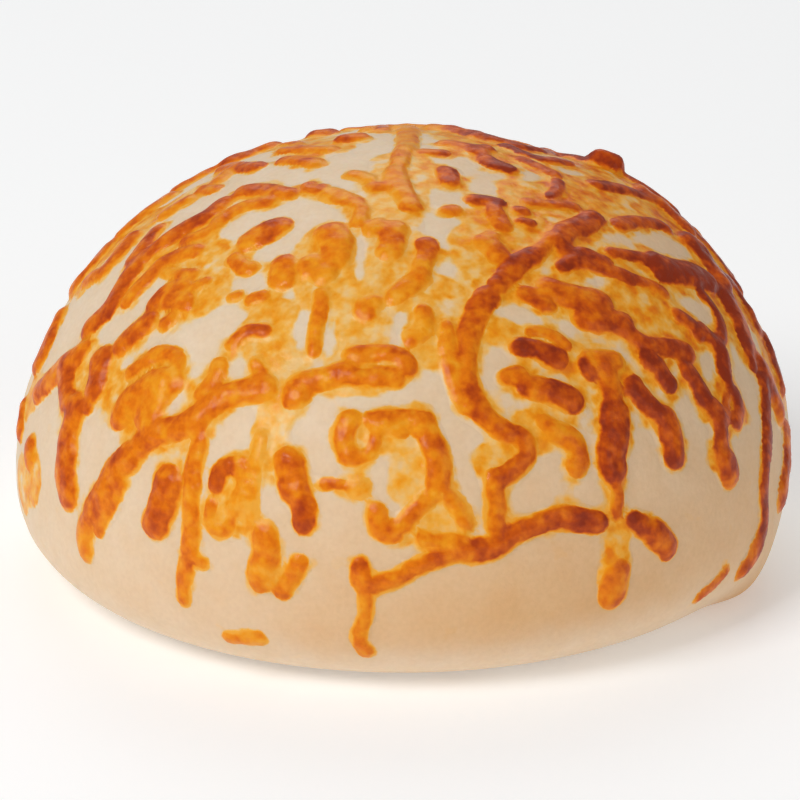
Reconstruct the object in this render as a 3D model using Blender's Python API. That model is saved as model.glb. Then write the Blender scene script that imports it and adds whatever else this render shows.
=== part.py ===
"""Cheese roll: a round soft bread roll with strands of grated cheese baked onto it.

Metres, +Z up. The roll stands on its flat base at z = 0, and its front faces -Y.

A place on the crust is (azimuth, polar), in degrees. Azimuth 0 is the front and 90 is the +X side.
Polar is 0 at the crown, 90 at the waist, where the roll is widest, and 180 at the edge of the flat base.
"""

import math
import random

import bmesh
import bpy
from mathutils import Vector

# The dough
WAIST_RADIUS = 0.0527
WAIST_HEIGHT = 0.0124
CROWN_RISE = 0.0438  # from the waist to the crown
BASE_RADIUS = 0.0390
BELLY_POWER = 2.3  # 2 rounds the side under the waist as an ellipse, and more makes it fuller
AXIS_X = 0.00006  # the upright axis, set so that the whole roll's box is centred on the origin
CRUST_EDGE = 0.0050  # length of a facet's side
BELLY_RINGS = 5

# A lobe of dough that spread on the baking tray
LOBE_AZIMUTH = 67
LOBE_HALF_ANGLE = 9
LOBE_REACH = 0.0078

# Slow unevenness of the dough: (height, waves along x, y and z over the waist radius, phase)
SWELLS = (
    (0.00018, (2.1, 0.7, 1.3), 0.4),
    (0.00015, (-1.2, 2.6, 0.9), 2.1),
    (0.00012, (3.1, -1.9, 2.2), 4.0),
)

# Shallow hollows where the dough sank, and one swelling, of negative depth: azimuth, polar, spread, depth
HOLLOWS = (
    (-96, 64, 0.010, 0.0006),
    (112, 40, 0.012, -0.0010),
    (82, 108, 0.012, 0.0007),
    (136, 25, 0.006, 0.0015),
)

# A cheese strand's cross-section, as shares of its width
STRAND_RISE = 0.20  # height over the crust
STRAND_TOP = 0.25  # from the middle to an upper edge
STRAND_FOOT = 0.58  # from the middle to a side's foot, which is inside the crust
STRAND_LIP = 0.00028  # how far a side's foot reaches into the crust, in metres
STRAND_SINK = 0.0012  # how far its keel reaches into the crust, in metres
STRAND_STEP = 0.0042  # length of a facet along a strand
STRAND_END = 0.62  # size of its two ends, as a share of its middle
ROUTE_STEPS = 8  # places worked out between two given ones

# Strands of the front half: width in mm, how toasted its two ends are from 0 to 1, then the places it
# passes through
PLACED_STRANDS = (
    # over the crown
    (5.2, 0.80, 0.85, (-150, 21.5), (-143, 23)),
    (5.4, 0.80, 0.65, (-121, 33), (-127, 29), (-132, 26)),
    (3.8, 0.60, 0.75, (-112, 30), (-100, 24), (-93, 21)),
    (3.6, 0.55, 0.50, (-95, 18), (-82, 14), (-70, 13)),
    (4.8, 0.70, 0.80, (-128, 12), (-142, 8)),
    (3.6, 0.40, 0.45, (176, 13), (170, 4), (-5, 8)),
    (4.2, 0.50, 0.45, (-7, 8), (-5, 12), (1, 17)),
    (4.1, 0.50, 0.60, (1, 16), (4, 21)),
    (2.6, 0.22, 0.25, (-40, 12), (-18, 13)),
    (3.6, 0.30, 0.50, (-38, 18), (-24, 19), (-17, 20)),
    (3.4, 0.50, 0.38, (-17, 20), (-15, 25)),
    (3.4, 0.80, 0.70, (37, 10), (28, 15)),
    (3.6, 0.70, 1.00, (30, 19), (36, 20.5), (40, 22.5)),
    (3.6, 0.70, 0.50, (36, 22), (32, 27)),
    (3.1, 0.55, 0.70, (50, 3), (70, 7)),
    (3.4, 0.50, 0.60, (120, 6), (105, 8), (96, 11)),
    (3.8, 0.65, 0.60, (100, 13), (90, 11), (82, 12)),
    (3.6, 0.60, 0.95, (78, 12), (72, 14), (70, 17)),
    (6.0, 0.50, 0.95, (168, 18.5), (150, 18), (134, 16.5)),
    (3.4, 0.95, 0.70, (113, 16), (100, 20), (104, 26)),
    (3.1, 0.60, 0.50, (92, 17), (83, 23)),
    (3.1, 0.90, 0.75, (42, 24), (47, 25)),
    (3.1, 0.85, 0.80, (39, 26), (43, 28)),
    (2.9, 0.40, 0.45, (50, 23), (58, 25), (67, 28)),
    # left shoulder
    (3.6, 0.70, 0.75, (-55, 18), (-67, 21), (-77, 24), (-72, 28)),
    (4.2, 0.70, 0.75, (-72, 28), (-69, 34), (-71, 40), (-72, 43)),
    (4.6, 0.75, 0.75, (-72, 43), (-70, 47), (-68, 52), (-70, 57)),
    (2.9, 0.50, 0.40, (-52, 21), (-60, 24), (-63, 27), (-61, 31)),
    (2.9, 0.40, 0.60, (-61, 31), (-62, 34), (-66, 37)),
    (3.1, 0.55, 0.80, (-53, 17), (-46, 18), (-40, 17)),
    (4.1, 0.65, 0.50, (-37, 26), (-42, 29), (-46, 33)),
    (3.1, 0.40, 0.45, (-46, 35), (-41, 36), (-37, 36)),
    (4.0, 0.75, 0.75, (-82, 38), (-78, 41), (-74, 45)),
    (3.4, 0.65, 0.55, (-57, 36), (-62, 39), (-64, 42), (-64, 46), (-64, 50)),
    (4.0, 0.62, 0.65, (-88, 42), (-84, 46), (-83, 50), (-88, 54)),
    (3.4, 0.45, 0.50, (-91, 32), (-90, 35), (-88, 38)),
    (5.2, 0.60, 0.70, (-89, 61), (-84, 65), (-82, 70)),
    (4.1, 0.60, 0.70, (-53, 49), (-55, 52), (-57, 57)),
    (3.4, 0.55, 0.80, (-51, 41.5), (-55, 44), (-56, 48)),
    (3.8, 0.50, 0.45, (-54, 46), (-50, 45), (-46, 45)),
    # left flank
    (5.0, 0.65, 0.60, (-66, 59), (-69, 63), (-72, 67), (-76, 72)),
    (4.8, 0.65, 0.75, (-61, 58), (-58, 61), (-57, 65)),
    (3.1, 0.75, 0.70, (-56, 66), (-59, 67), (-63, 68)),
    (4.2, 0.75, 0.70, (-60, 68), (-60, 74), (-57, 79), (-54, 82)),
    (3.1, 0.60, 0.75, (-84, 75), (-80, 79)),
    (4.4, 0.65, 0.55, (-74, 79), (-70, 80), (-68, 83)),
    (4.6, 0.50, 0.42, (-42, 57), (-46, 60), (-48, 63), (-49, 67)),
    (3.1, 0.60, 0.50, (-51, 59), (-49, 56), (-46, 54), (-42, 54), (-41, 57)),
    (2.9, 0.70, 0.60, (-46, 61), (-44, 65), (-40, 66)),
    (4.3, 0.60, 0.62, (-32, 62), (-36, 64), (-41, 67), (-43, 70)),
    (4.6, 0.62, 0.72, (-43, 70), (-46, 74), (-48, 79), (-50, 84)),
    (4.2, 0.50, 0.36, (-50, 84), (-51, 88), (-50, 92)),
    (2.6, 0.55, 0.50, (-44, 75), (-46, 81), (-48, 86)),
    (5.4, 0.78, 0.80, (-36, 71), (-36, 76), (-37, 82)),
    (3.1, 0.55, 0.60, (-32, 64), (-32, 70), (-31, 78), (-31, 84)),
    (2.6, 0.55, 0.60, (-31, 84), (-32, 88), (-33, 98)),
    (3.1, 0.80, 0.75, (-27, 66), (-29, 68), (-29, 72)),
    (2.9, 0.50, 0.45, (-26, 66), (-24, 70), (-25, 76)),
    (2.9, 0.45, 0.50, (-26, 116), (-20, 111)),
    (4.8, 0.42, 0.45, (-40, 56), (-43, 61), (-42, 66)),
    # front
    (4.3, 0.65, 0.50, (-32, 33), (-28, 38)),
    (5.3, 0.45, 0.50, (-26, 26), (-19, 29), (-17, 33)),
    (4.6, 0.42, 0.52, (-26, 34), (-21, 34), (-18, 36)),
    (4.3, 0.55, 0.50, (-2, 24), (-3, 28), (-4, 31)),
    (3.6, 0.36, 0.34, (-12, 26), (-6, 24)),
    (3.4, 0.95, 0.52, (6, 27), (7, 30), (4, 34)),
    (3.6, 0.50, 0.40, (5, 34), (1, 37), (-3, 39)),
    (3.4, 0.40, 0.60, (-5, 39), (-8, 40), (-7, 42)),
    (3.4, 0.55, 0.40, (4, 40), (4, 44), (1, 46)),
    (4.1, 0.60, 0.55, (-36, 64), (-33, 61), (-30, 58), (-26, 56), (-22, 55)),
    (3.1, 0.40, 0.45, (-33, 52), (-33, 56), (-35, 59)),
    (4.1, 0.50, 0.65, (-18, 57), (-17, 54), (-12, 52), (-8, 51)),
    (3.4, 0.55, 0.65, (-10, 49), (-4, 48), (0, 49), (1, 52)),
    (3.4, 0.60, 0.55, (-9, 52), (-4, 52), (0, 52)),
    (3.1, 0.55, 0.60, (3, 57), (-2, 57), (-6, 58)),
    (3.6, 0.65, 0.72, (-8, 58), (-9, 62), (-8, 65)),
    (3.6, 0.40, 0.42, (-5, 60), (1, 60)),
    (4.1, 0.60, 0.65, (2, 57), (4, 61), (5, 65), (5, 70)),
    (5.5, 0.75, 0.85, (-17, 66), (-16, 69), (-15, 72)),
    (4.1, 0.85, 1.00, (-15, 71), (-14, 74), (-14, 77)),
    (4.8, 0.50, 0.52, (-20, 77), (-19, 81), (-20, 87)),
    (3.1, 0.45, 0.65, (-14, 81), (-15, 84), (-17, 88)),
    (3.4, 0.45, 0.60, (-4, 72), (-3, 76), (0, 76)),
    (2.9, 0.60, 0.50, (0, 76), (2, 73), (5, 70)),
    (2.9, 0.50, 0.45, (6, 70), (8, 73), (9, 76)),
    (2.9, 0.42, 0.50, (2, 77), (5, 78), (9, 78)),
    (2.9, 0.60, 0.55, (13, 67), (13, 71), (13, 77)),
    (3.4, 0.75, 0.75, (-6, 81), (-5, 85), (-2, 85), (3, 82), (9, 80)),
    (3.8, 0.78, 0.90, (8, 80), (13, 79), (16, 77), (22, 76), (29, 78)),
    (2.6, 0.65, 0.60, (-5, 85), (-5, 92), (-6, 104), (-5, 117)),
    # right shoulder
    (4.3, 0.65, 0.60, (68, 31), (59, 31), (50, 31), (44, 33)),
    (3.1, 0.60, 0.65, (36, 33), (41, 32), (46, 31)),
    (3.8, 0.95, 0.75, (37, 33), (30, 34), (25, 36), (20, 38)),
    (3.8, 0.72, 0.70, (20, 38), (15, 42), (12, 47), (11, 53), (13, 59), (17, 62)),
    (3.1, 0.65, 0.70, (17, 61), (19, 63), (18, 66), (13, 69)),
    (2.9, 0.45, 0.52, (9, 43), (8, 48), (9, 54), (11, 58)),
    (3.8, 0.45, 0.55, (22, 28), (26, 31), (26, 33)),
    (3.1, 0.45, 0.52, (27, 27), (24, 33)),
    (3.4, 0.75, 0.80, (44, 31), (45, 35), (49, 36), (53, 39)),
    (3.4, 0.62, 0.62, (69, 34), (77, 36), (84, 39), (86, 42)),
    (3.4, 0.80, 0.70, (88, 28), (95, 33), (99, 38), (102, 42)),
    (2.9, 0.72, 0.85, (56, 37), (61, 39), (66, 42)),
    (5.8, 0.88, 1.00, (65, 42), (71, 46), (77, 49), (79, 52)),
    (5.8, 0.85, 0.90, (89, 44), (87, 50), (84, 55)),
    (3.1, 0.75, 0.65, (43, 36), (50, 39), (55, 43)),
    (3.4, 0.75, 0.80, (59, 50), (61, 53), (62, 56)),
    (3.1, 0.62, 0.60, (26, 39), (29, 40), (31, 43)),
    (5.0, 0.50, 0.58, (32, 39), (38, 42), (44, 45)),
    (4.3, 0.62, 0.72, (36, 45), (41, 47), (46, 49)),
    (3.4, 0.70, 0.85, (103, 42), (101, 48), (98, 54), (95, 60)),
    (3.4, 0.95, 0.80, (90, 48), (89, 53), (91, 57), (89, 62)),
    (4.6, 0.55, 0.85, (135, 31), (128, 31), (120, 32.5)),
    (4.6, 0.60, 0.65, (104, 37), (100, 42), (96, 47)),
    # right flank
    (3.6, 0.95, 0.95, (20, 48), (24, 49), (29, 52)),
    (3.1, 0.90, 0.85, (32, 52), (34, 55)),
    (4.1, 0.60, 1.00, (21, 55), (25, 56), (29, 59)),
    (2.9, 0.42, 0.80, (17, 53), (20, 53), (21, 56)),
    (3.4, 0.50, 0.55, (23, 62), (26, 64), (27, 67), (25, 69)),
    (3.4, 0.45, 0.50, (33, 52), (37, 53), (40, 54)),
    (3.6, 0.50, 0.65, (37, 53), (36, 57), (35, 60)),
    (5.2, 0.90, 0.85, (35, 60), (34, 64), (32, 68), (32, 72)),
    (4.4, 0.42, 0.45, (31, 85), (30, 90), (30, 96)),
    (3.8, 0.85, 0.80, (40, 57), (41, 60), (43, 64)),
    (4.4, 0.80, 0.80, (43, 63), (44, 67), (43, 72)),
    (3.8, 0.90, 1.00, (45, 54), (47, 57), (48, 61)),
    (3.4, 0.70, 0.75, (44, 49), (46, 52), (50, 54), (57, 57)),
    (4.2, 0.95, 0.95, (53, 58), (55, 62), (56, 65)),
    (4.2, 0.80, 0.72, (56, 65), (57, 68), (55, 73), (54, 75)),
    (5.0, 0.70, 0.45, (54, 74), (55, 79)),
    (3.8, 0.85, 1.00, (64, 54), (66, 58), (66, 61), (64, 64)),
    (3.2, 0.95, 0.75, (62, 64), (64, 67), (62, 70)),
    (3.4, 0.92, 0.85, (79, 53), (79, 57), (77, 61), (75, 66)),
    (3.8, 0.90, 0.85, (75, 67), (72, 71), (70, 76), (67, 80)),
    (3.6, 0.85, 0.75, (67, 80), (64, 85), (63, 90), (62, 96)),
    (3.8, 0.65, 0.50, (62, 96), (60, 105), (57, 112)),
    (3.8, 0.85, 0.80, (90, 66), (87, 70), (83, 75)),
    (3.4, 0.60, 0.70, (90, 60), (87, 65)),
    (4.8, 0.52, 0.55, (80, 79), (76, 85), (71, 90)),
    (2.4, 0.50, 0.50, (53, 101), (50, 108), (47, 114)),
    (3.8, 0.95, 0.80, (33, 78), (36, 81)),
    (4.3, 0.78, 0.75, (36, 81), (38, 83), (40, 86)),
    (5.2, 0.72, 0.60, (85, 52), (80, 58), (77, 64)),
    (5.0, 0.62, 0.50, (77, 65), (76, 71), (77, 77)),
    # along the left horizon
    (4.3, 0.60, 0.55, (-126, 31), (-117, 36), (-112, 40)),
    (4.6, 0.55, 0.60, (-107, 38), (-101, 43), (-98, 48)),
    (4.8, 0.60, 0.55, (-97, 49), (-95, 54), (-94, 59)),
    (3.6, 0.60, 0.50, (-122, 42), (-115, 48)),
    # along the right horizon
    (4.3, 0.85, 0.70, (116, 37), (110, 42), (107, 47)),
    (3.8, 0.75, 0.60, (108, 53), (102, 60)),
)

# One strand that curls up from the crust
CURL = (4.4, 0.95, 0.95, (119, 33), (114, 37))
CURL_RISE = 0.56

# Strands scattered over the back half
SCATTER_SEED = 7
SCATTER_COUNT = 42
SCATTER_TRIES = 1500
SCATTER_GAP = 0.0064  # least distance between two strands' middles
SCATTER_AZIMUTHS = (110, 240)
SCATTER_POLARS = (14, 86)
SCATTER_LENGTHS = (10, 23)  # mm
SCATTER_WIDTHS = (3.1, 5.2)  # mm
SCATTER_TOASTS = (0.40, 0.95)
SCATTER_BEND = 35  # degrees that each half may turn
DRIP_POLAR = 55  # from here down, strands hang downhill
DRIP_HEADINGS = (60, 120)  # degrees from level

# Materials: base colour (linear red, green and blue) and roughness
MATERIALS = {
    "dough": ((0.80, 0.65, 0.46), 0.62),
    "melted_cheese": ((0.80, 0.42, 0.09), 0.38),
    "golden_cheese": ((0.74, 0.25, 0.03), 0.36),
    "toasted_cheese": ((0.44, 0.09, 0.02), 0.42),
}
GOLDEN_FROM = 0.45  # least toast of golden cheese
TOASTED_FROM = 0.70


def clear_scene():
    for obj in list(bpy.data.objects):
        bpy.data.objects.remove(obj)


def make_materials():
    for name, (colour, roughness) in MATERIALS.items():
        material = bpy.data.materials.new(name)
        material.use_nodes = True
        shader = material.node_tree.nodes["Principled BSDF"]
        shader.inputs["Base Color"].default_value = (*colour, 1.0)
        shader.inputs["Roughness"].default_value = roughness
        shader.inputs["Metallic"].default_value = 0.0


def swell(point):
    """How far the dough stands proud of the plain roll at this point of it."""
    height = 0.0
    for size, waves, phase in SWELLS:
        height += size * math.sin(point.dot(waves) / WAIST_RADIUS + phase)
    for azimuth, polar, spread, depth in HOLLOWS:
        away = (point - plain_point(azimuth, polar)).length / spread
        height -= depth * math.exp(-away * away)
    return height


def profile(azimuth, polar):
    """Radius and height of the plain roll."""
    if polar <= 90:
        angle = math.radians(polar)
        return WAIST_RADIUS * math.sin(angle), WAIST_HEIGHT + CROWN_RISE * math.cos(angle)
    under = math.radians(min(polar, 180) - 90)
    off_lobe = (azimuth - LOBE_AZIMUTH) / LOBE_HALF_ANGLE
    base = BASE_RADIUS + LOBE_REACH * math.exp(-off_lobe * off_lobe)
    radius = base + (WAIST_RADIUS - base) * max(math.cos(under), 0.0) ** (2 / BELLY_POWER)
    return radius, WAIST_HEIGHT * (1 - math.sin(under) ** (2 / BELLY_POWER))


def plain_point(azimuth, polar):
    """The point of the plain roll at this place, from the foot of its axis."""
    radius, height = profile(azimuth, polar)
    turn = math.radians(azimuth)
    return Vector((radius * math.sin(turn), -radius * math.cos(turn), height))


def crust_point(azimuth, polar):
    """The point of the crust at this place. Its unevenness fades out towards the flat base."""
    plain = plain_point(azimuth, polar)
    above_waist = max(plain.z - WAIST_HEIGHT, 0)
    steep = WAIST_RADIUS**2 / CROWN_RISE**2
    normal = Vector((plain.x, plain.y, above_waist * steep)).normalized()
    fade = min(1.0, plain.z / WAIST_HEIGHT)
    return Vector((AXIS_X, 0, 0)) + plain + normal * swell(plain) * fade


def crust_normal(azimuth, polar):
    step = 0.5
    polar = max(polar, 2 * step)
    down = crust_point(azimuth, polar + step) - crust_point(azimuth, polar - step)
    along = crust_point(azimuth + step, polar) - crust_point(azimuth - step, polar)
    return down.cross(along).normalized()


def make_crust():
    """The bare roll: rings of points from the crown to the base, closed by a flat base."""
    mesh = bmesh.new()
    crown_arc = math.radians(90) * (WAIST_RADIUS + CROWN_RISE) / 2
    crown_rings = round(crown_arc / CRUST_EDGE)
    polars = [90 * i / crown_rings for i in range(1, crown_rings + 1)]
    polars += [90 + 90 * i / BELLY_RINGS for i in range(1, BELLY_RINGS + 1)]
    rings = []
    for polar in polars:
        radius = profile(0, min(polar, 90))[0]
        count = round(math.tau * radius / CRUST_EDGE)
        rings.append([mesh.verts.new(crust_point(360 * k / count, polar)) for k in range(count)])
    crown = mesh.verts.new(crust_point(0, 0))
    first = rings[0]
    for k in range(len(first)):
        mesh.faces.new((crown, first[k], first[(k + 1) % len(first)]))
    for upper, lower in zip(rings, rings[1:]):
        stitch(mesh, upper, lower)
    mesh.faces.new(list(reversed(rings[-1])))
    return finished(mesh, "cheese_roll", "dough")


def stitch(mesh, upper, lower):
    """Triangles between two closed rings that may differ in their number of points."""
    i = j = 0
    while i < len(upper) or j < len(lower):
        a, b = upper[i % len(upper)], lower[j % len(lower)]
        upper_is_next = (i + 1) / len(upper) <= (j + 1) / len(lower)
        if j >= len(lower) or (i < len(upper) and upper_is_next):
            mesh.faces.new((a, b, upper[(i + 1) % len(upper)]))
            i += 1
        else:
            mesh.faces.new((a, b, lower[(j + 1) % len(lower)]))
            j += 1


def finished(mesh, name, material):
    bmesh.ops.recalc_face_normals(mesh, faces=mesh.faces)
    data = bpy.data.meshes.new(name)
    mesh.to_mesh(data)
    mesh.free()
    data.materials.append(bpy.data.materials[material])
    obj = bpy.data.objects.new(name, data)
    bpy.context.scene.collection.objects.link(obj)
    return obj


def to_map(azimuth, polar):
    """A flat map of the crust round the crown, in which a strand's route is drawn."""
    turn = math.radians(azimuth)
    return Vector((polar * math.sin(turn), -polar * math.cos(turn)))


def from_map(point):
    return math.degrees(math.atan2(point.x, -point.y)), point.length


def smooth_route(places):
    """Many places along a smooth curve through the given ones (Catmull-Rom)."""
    points = [to_map(*place) for place in places]
    points = [2 * points[0] - points[1], *points, 2 * points[-1] - points[-2]]
    route = []
    for a, b, c, d in zip(points, points[1:], points[2:], points[3:]):
        for k in range(ROUTE_STEPS):
            t = k / ROUTE_STEPS
            bent = (2 * a - 5 * b + 4 * c - d) * t**2 + (3 * b - a - 3 * c + d) * t**3
            route.append(0.5 * (2 * b + (c - a) * t + bent))
    route.append(points[-2])
    return [from_map(point) for point in route]


def even_places(places):
    """Places along the route, about STRAND_STEP apart."""
    route = smooth_route(places)
    points = [crust_point(*place) for place in route]
    reach = [0.0]
    for a, b in zip(points, points[1:]):
        reach.append(reach[-1] + (b - a).length)
    count = max(2, round(reach[-1] / STRAND_STEP))
    even = []
    for k in range(count + 1):
        wanted = reach[-1] * k / count
        nearest = min(range(len(route)), key=lambda i: abs(reach[i] - wanted))
        even.append(route[nearest])
    return even


def make_strand(width, rise, material, places, name):
    """A strand of cheese that has sunk into the crust: a low five-sided bar with smaller ends."""
    mesh = bmesh.new()
    route = even_places(places)
    centres = [crust_point(*place) for place in route]
    foot, top = STRAND_FOOT * width, STRAND_TOP * width
    outline = (
        (-foot, -STRAND_LIP),
        (-top, rise * width),
        (top, rise * width),
        (foot, -STRAND_LIP),
        (0, -STRAND_SINK),
    )
    rings = []
    for i, place in enumerate(route):
        normal = crust_normal(*place)
        ahead = centres[min(i + 1, len(centres) - 1)] - centres[max(i - 1, 0)]
        side = ahead.cross(normal).normalized()
        share = STRAND_END if i in (0, len(route) - 1) else 1.0
        ring = []
        for across, up in outline:
            lift = up * share if up > 0 else up
            ring.append(mesh.verts.new(centres[i] + side * across * share + normal * lift))
        rings.append(ring)
    sides = len(outline)
    for near, far in zip(rings, rings[1:]):
        for k in range(sides):
            after = (k + 1) % sides
            mesh.faces.new((near[k], near[after], far[after], far[k]))
    mesh.faces.new(list(reversed(rings[0])))
    mesh.faces.new(rings[-1])
    return finished(mesh, name, material)


def scattered_strands():
    """Strands over the back half by a seeded rule: evenly spaced, lying any way on top and downhill below."""
    draw = random.Random(SCATTER_SEED)
    taken = [crust_point(*places[len(places) // 2]) for _, _, _, *places in (*PLACED_STRANDS, CURL)]
    heights = [math.cos(math.radians(polar)) for polar in SCATTER_POLARS]
    strands = []
    for _ in range(SCATTER_TRIES):
        azimuth = draw.uniform(*SCATTER_AZIMUTHS)
        polar = math.degrees(math.acos(draw.uniform(*heights)))
        length = draw.uniform(*SCATTER_LENGTHS)
        heading = draw.uniform(0, 180) if polar < DRIP_POLAR else draw.uniform(*DRIP_HEADINGS)
        bend = draw.uniform(-SCATTER_BEND, SCATTER_BEND)
        width = draw.uniform(*SCATTER_WIDTHS)
        toasts = [draw.uniform(*SCATTER_TOASTS) for _ in range(2)]
        middle = crust_point(azimuth, polar)
        if all((middle - other).length > SCATTER_GAP for other in taken):
            taken.append(middle)
            strands.append((width, *toasts, *walk(azimuth, polar, heading, length, bend)))
        if len(strands) == SCATTER_COUNT:
            break
    return strands


def walk(azimuth, polar, heading, length, bend):
    """Three places of a strand this long in mm about its middle, on headings from 0, level, to 90, downhill."""
    centre = to_map(azimuth, polar)
    downhill = centre.normalized()
    level = Vector((-downhill.y, downhill.x))
    reach = math.degrees(length / 1000 / WAIST_RADIUS) / 2
    start = math.radians(heading - bend)
    end = math.radians(heading + bend)
    return (
        from_map(centre - reach * (level * math.cos(start) + downhill * math.sin(start))),
        (azimuth, polar),
        from_map(centre + reach * (level * math.cos(end) + downhill * math.sin(end))),
    )


def make_strands():
    """All the strands, in a collection of their own."""
    shreds = bpy.data.collections.new("shreds")
    bpy.context.scene.collection.children.link(shreds)
    rows = [(STRAND_RISE, row) for row in (*PLACED_STRANDS, *scattered_strands())]
    rows.append((CURL_RISE, CURL))
    for number, (rise, (width, first, last, *places)) in enumerate(rows):
        toast = (first + last) / 2
        if toast >= TOASTED_FROM:
            material = "toasted_cheese"
        elif toast >= GOLDEN_FROM:
            material = "golden_cheese"
        else:
            material = "melted_cheese"
        strand = make_strand(width / 1000, rise, material, places, f"strand_{number:03d}")
        bpy.context.scene.collection.objects.unlink(strand)
        shreds.objects.link(strand)
    return shreds


def fuse(roll, shreds):
    """One union of the roll with all its strands, which keep their materials."""
    union = roll.modifiers.new("fuse_strands", "BOOLEAN")
    union.operation = "UNION"
    union.operand_type = "COLLECTION"
    union.collection = shreds
    union.solver = "EXACT"
    union.material_mode = "TRANSFER"
    graph = bpy.context.evaluated_depsgraph_get()
    fused = bpy.data.meshes.new_from_object(roll.evaluated_get(graph))
    roll.modifiers.remove(union)
    roll.data = fused
    roll.data.name = roll.name
    roll.data.shade_smooth()
    roll.data.set_sharp_from_angle(angle=math.radians(40))
    for strand in list(shreds.objects):
        bpy.data.objects.remove(strand)
    bpy.data.collections.remove(shreds)


def main():
    clear_scene()
    make_materials()
    roll = make_crust()
    fuse(roll, make_strands())


main()
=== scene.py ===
"""Looks of the cheese roll: pale soft dough, with shreds of cheese melted and toasted on it.

Metres, +Z up, in the solid's frame: the roll stands on z = 0, and its front faces -Y.

A place on the crust is (azimuth, polar), in degrees. Azimuth 0 is the front and 90 is the +X side.
Polar is 0 at the crown, 90 at the waist and 180 at the edge of the flat base, whose middle is at 270.

The bread and the cheese are made on one grid of the crust, the cheese as a closed shell. Each point
carries shades, such as how far outside the nearest strand it lies, which its material turns into colours.
"""

import math
import random

import bmesh
import bpy
import numpy as np
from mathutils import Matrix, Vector, noise


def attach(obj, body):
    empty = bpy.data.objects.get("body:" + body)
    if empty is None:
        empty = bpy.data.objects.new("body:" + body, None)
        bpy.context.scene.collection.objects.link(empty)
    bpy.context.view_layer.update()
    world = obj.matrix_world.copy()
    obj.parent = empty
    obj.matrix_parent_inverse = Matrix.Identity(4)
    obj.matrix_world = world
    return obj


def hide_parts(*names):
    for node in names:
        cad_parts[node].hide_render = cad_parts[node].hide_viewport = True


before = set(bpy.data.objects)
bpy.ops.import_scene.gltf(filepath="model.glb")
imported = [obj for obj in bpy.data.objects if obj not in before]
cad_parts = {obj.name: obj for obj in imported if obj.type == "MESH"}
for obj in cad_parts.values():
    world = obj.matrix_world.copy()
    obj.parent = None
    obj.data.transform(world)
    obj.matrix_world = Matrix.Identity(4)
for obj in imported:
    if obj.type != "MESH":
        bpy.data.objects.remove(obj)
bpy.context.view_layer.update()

MM = 0.001

# The dough, as in the solid
WAIST_RADIUS = 0.0527
WAIST_HEIGHT = 0.0124
CROWN_RISE = 0.0438  # from the waist to the crown
BASE_RADIUS = 0.0390
BELLY_POWER = 2.3  # 2 rounds the side under the waist as an ellipse, and more makes it fuller
AXIS_X = 0.00006
LOBE_AZIMUTH = 67  # a lobe of dough at the foot
LOBE_HALF_ANGLE = 9
LOBE_REACH = 0.0078
SWELLS = (  # height, waves along x, y and z over the waist radius, in radians, and phase
    (0.00018, (2.1, 0.7, 1.3), 0.4),
    (0.00015, (-1.2, 2.6, 0.9), 2.1),
    (0.00012, (3.1, -1.9, 2.2), 4.0),
)
HOLLOWS = (  # azimuth, polar, spread and depth, which is below 0 for a bulge
    (-96, 64, 0.010, 0.0006),
    (112, 40, 0.012, -0.0010),
    (82, 108, 0.012, 0.0007),
    (136, 25, 0.006, 0.0015),
)

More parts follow.
